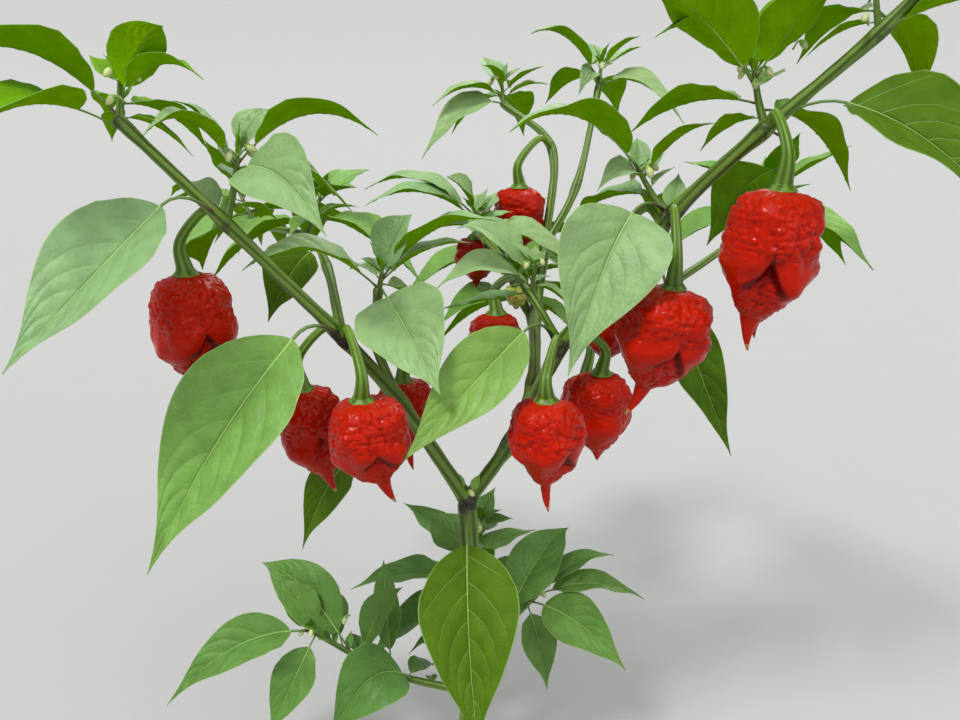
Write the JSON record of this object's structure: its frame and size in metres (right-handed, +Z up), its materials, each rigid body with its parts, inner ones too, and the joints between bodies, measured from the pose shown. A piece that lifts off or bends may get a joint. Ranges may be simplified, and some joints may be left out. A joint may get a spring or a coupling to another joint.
{
  "type": "chilli pepper plant",
  "caption": "Rooted chilli pepper plant: a forked stem with tapering limbs, leafy shoots, broad pointed leaves and wrinkled red pods hanging on curved stalks.",
  "frame": {"origin": "middle of the flat cut under the main stem, at ground level", "axes": "+Z up along the main stem; -Y is the front that faces the viewer; +X is the right as seen from the front"},
  "size_m": [0.3871, 0.3142, 0.4456],
  "materials": {
    "stem_bark": "ribbed green stem with purple-brown joints, satin",
    "pod_skin": "wrinkled, glossy, ripe red skin below a green stalk and cap",
    "leaf_blade": "soft satin green blade with raised pale veins"
  },
  "bodies": {
    "root": {"stem": "stem_bark", "limb_left_lower": "stem_bark", "limb_left_upper": "stem_bark", "limb_left_inner": "stem_bark", "limb_left_back": "stem_bark", "limb_right_lower": "stem_bark", "limb_right_middle": "stem_bark", "limb_right_upper": "stem_bark", "limb_right_inner": "stem_bark", "limb_right_back": "stem_bark", "limb_back_lower": "stem_bark", "limb_back_left": "stem_bark", "limb_back_right": "stem_bark", "limb_back_low": "stem_bark", "pod_left_outer": "pod_skin", "pod_left_front": "pod_skin", "pod_left_second": "pod_skin", "pod_left_inner": "pod_skin", "pod_right_low": "pod_skin", "pod_right_second": "pod_skin", "pod_right_inner": "pod_skin", "pod_right_hidden": "pod_skin", "pod_right_middle": "pod_skin", "pod_right_upper": "pod_skin", "pod_back_upper": "pod_skin", "pod_back_left": "pod_skin", "pod_right_back": "pod_skin", "pod_far_back": "pod_skin", "leaf_left_outer": "leaf_blade", "leaf_left_tip": "leaf_blade", "leaf_left_under": "leaf_blade", "leaf_left_front": "leaf_blade", "leaf_left_behind": "leaf_blade", "leaf_fork_front": "leaf_blade", "leaf_under_pods": "leaf_blade", "leaf_right_low": "leaf_blade", "leaf_right_middle": "leaf_blade", "leaf_right_outer": "leaf_blade", "leaf_right_hanging": "leaf_blade", "leaf_right_behind": "leaf_blade", "shoot_left_tip": "leaf_blade", "shoot_left_upper": "leaf_blade", "shoot_left_inner": "leaf_blade", "shoot_right_inner": "leaf_blade", "shoot_middle": "leaf_blade", "shoot_right_middle": "leaf_blade", "shoot_right_upper": "leaf_blade", "shoot_right_tip": "leaf_blade", "shoot_right_side": "leaf_blade", "shoot_back_left": "leaf_blade", "shoot_back_right": "leaf_blade", "shoot_back_middle": "leaf_blade", "shoot_left_back": "leaf_blade", "shoot_far_left": "leaf_blade", "shoot_far_back": "leaf_blade", "shoot_right_back": "leaf_blade", "shoot_low_left": "leaf_blade", "shoot_low_right": "leaf_blade", "shoot_stem_upper": "leaf_blade", "shoot_low_back": "leaf_blade"}
  },
  "joints": []
}
